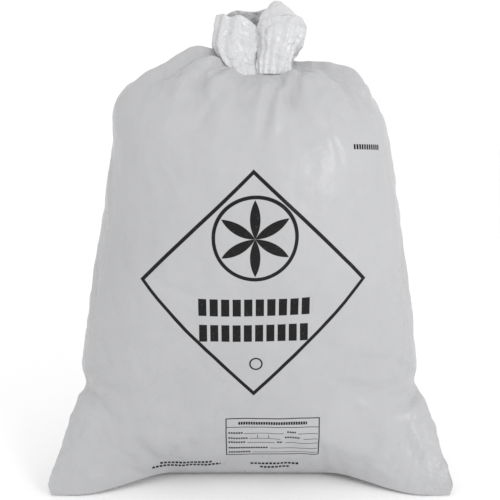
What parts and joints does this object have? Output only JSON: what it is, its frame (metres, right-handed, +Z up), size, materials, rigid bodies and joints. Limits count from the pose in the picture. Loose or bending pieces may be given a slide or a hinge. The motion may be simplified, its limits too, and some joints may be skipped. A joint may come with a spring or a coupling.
{
  "type": "biohazard waste bag",
  "caption": "Full white plastic film waste bag standing on a floor, swollen like a pillow with ears at its bottom corners, gathered and knotted at the top into a loop and an open flared tail.",
  "frame": {"origin": "on the floor under the bag, on the flat base the contents press out, midway between the ears", "axes": "+Z up towards the knot, -Y towards the printed front, X from the left ear to the right ear as seen from the front"},
  "size_m": [0.7335, 0.3503, 0.891],
  "materials": {
    "film": "satin milky white film"
  },
  "bodies": {
    "root": {"waste_bag": "film"}
  },
  "joints": []
}
